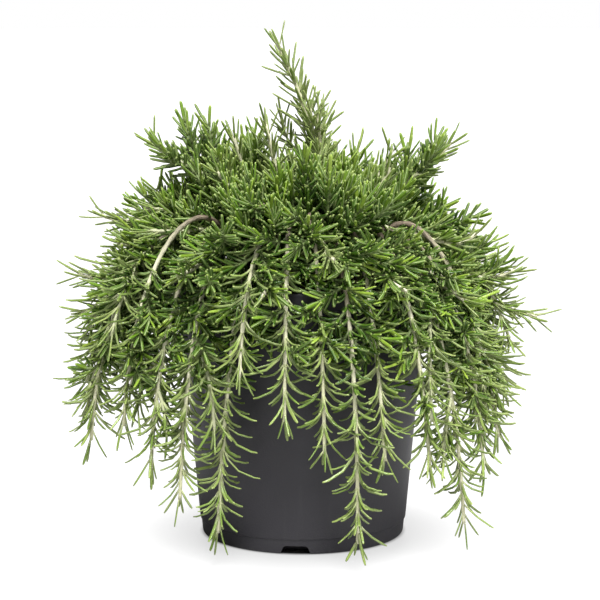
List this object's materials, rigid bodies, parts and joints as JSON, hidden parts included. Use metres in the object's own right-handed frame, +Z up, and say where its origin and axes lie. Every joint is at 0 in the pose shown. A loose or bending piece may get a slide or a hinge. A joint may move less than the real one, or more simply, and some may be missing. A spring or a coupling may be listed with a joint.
{
  "type": "potted rosemary plant",
  "caption": "Creeping rosemary in a plain tapered nursery pot: leafy stems arch out from the crown and trail down over the rim.",
  "frame": {"origin": "centre of the pot's flat underside, on the surface it stands on", "axes": "+Z up along the pot's axis, -Y towards the viewer of the picture, +X to the viewer's right"},
  "size_m": [0.3196, 0.2708, 0.3267],
  "materials": {
    "pot_plastic": "satin moulded charcoal plastic",
    "potting_mix": "damp crumbled bark and peat",
    "rosemary": "green needle leaves on woody stems"
  },
  "bodies": {
    "root": {"pot": "pot_plastic", "soil": "potting_mix", "trailing_stem_01": "rosemary", "trailing_stem_02": "rosemary", "trailing_stem_03": "rosemary", "trailing_stem_04": "rosemary", "trailing_stem_05": "rosemary", "trailing_stem_06": "rosemary", "trailing_stem_07": "rosemary", "trailing_stem_08": "rosemary", "trailing_stem_09": "rosemary", "trailing_stem_10": "rosemary", "trailing_stem_11": "rosemary", "trailing_stem_12": "rosemary", "trailing_stem_13": "rosemary", "trailing_stem_14": "rosemary", "trailing_stem_15": "rosemary", "trailing_stem_16": "rosemary", "trailing_stem_17": "rosemary", "trailing_stem_18": "rosemary", "trailing_stem_19": "rosemary", "trailing_stem_20": "rosemary", "trailing_stem_21": "rosemary", "trailing_stem_22": "rosemary", "trailing_stem_23": "rosemary", "arching_stem_01": "rosemary", "arching_stem_02": "rosemary", "arching_stem_03": "rosemary", "arching_stem_04": "rosemary", "arching_stem_05": "rosemary", "arching_stem_06": "rosemary", "arching_stem_07": "rosemary", "arching_stem_08": "rosemary", "arching_stem_09": "rosemary", "arching_stem_10": "rosemary", "arching_stem_11": "rosemary", "arching_stem_12": "rosemary", "arching_stem_13": "rosemary", "arching_stem_14": "rosemary", "arching_stem_15": "rosemary", "arching_stem_16": "rosemary", "arching_stem_17": "rosemary", "arching_stem_18": "rosemary", "upright_stem_01": "rosemary", "upright_stem_02": "rosemary", "upright_stem_03": "rosemary", "upright_stem_04": "rosemary", "upright_stem_05": "rosemary", "upright_stem_06": "rosemary", "upright_stem_07": "rosemary", "upright_stem_08": "rosemary", "upright_stem_09": "rosemary", "upright_stem_10": "rosemary", "upright_stem_11": "rosemary", "upright_stem_12": "rosemary", "leading_stem_01": "rosemary", "leading_stem_02": "rosemary", "leading_stem_03": "rosemary", "leading_stem_04": "rosemary"}
  },
  "joints": []
}
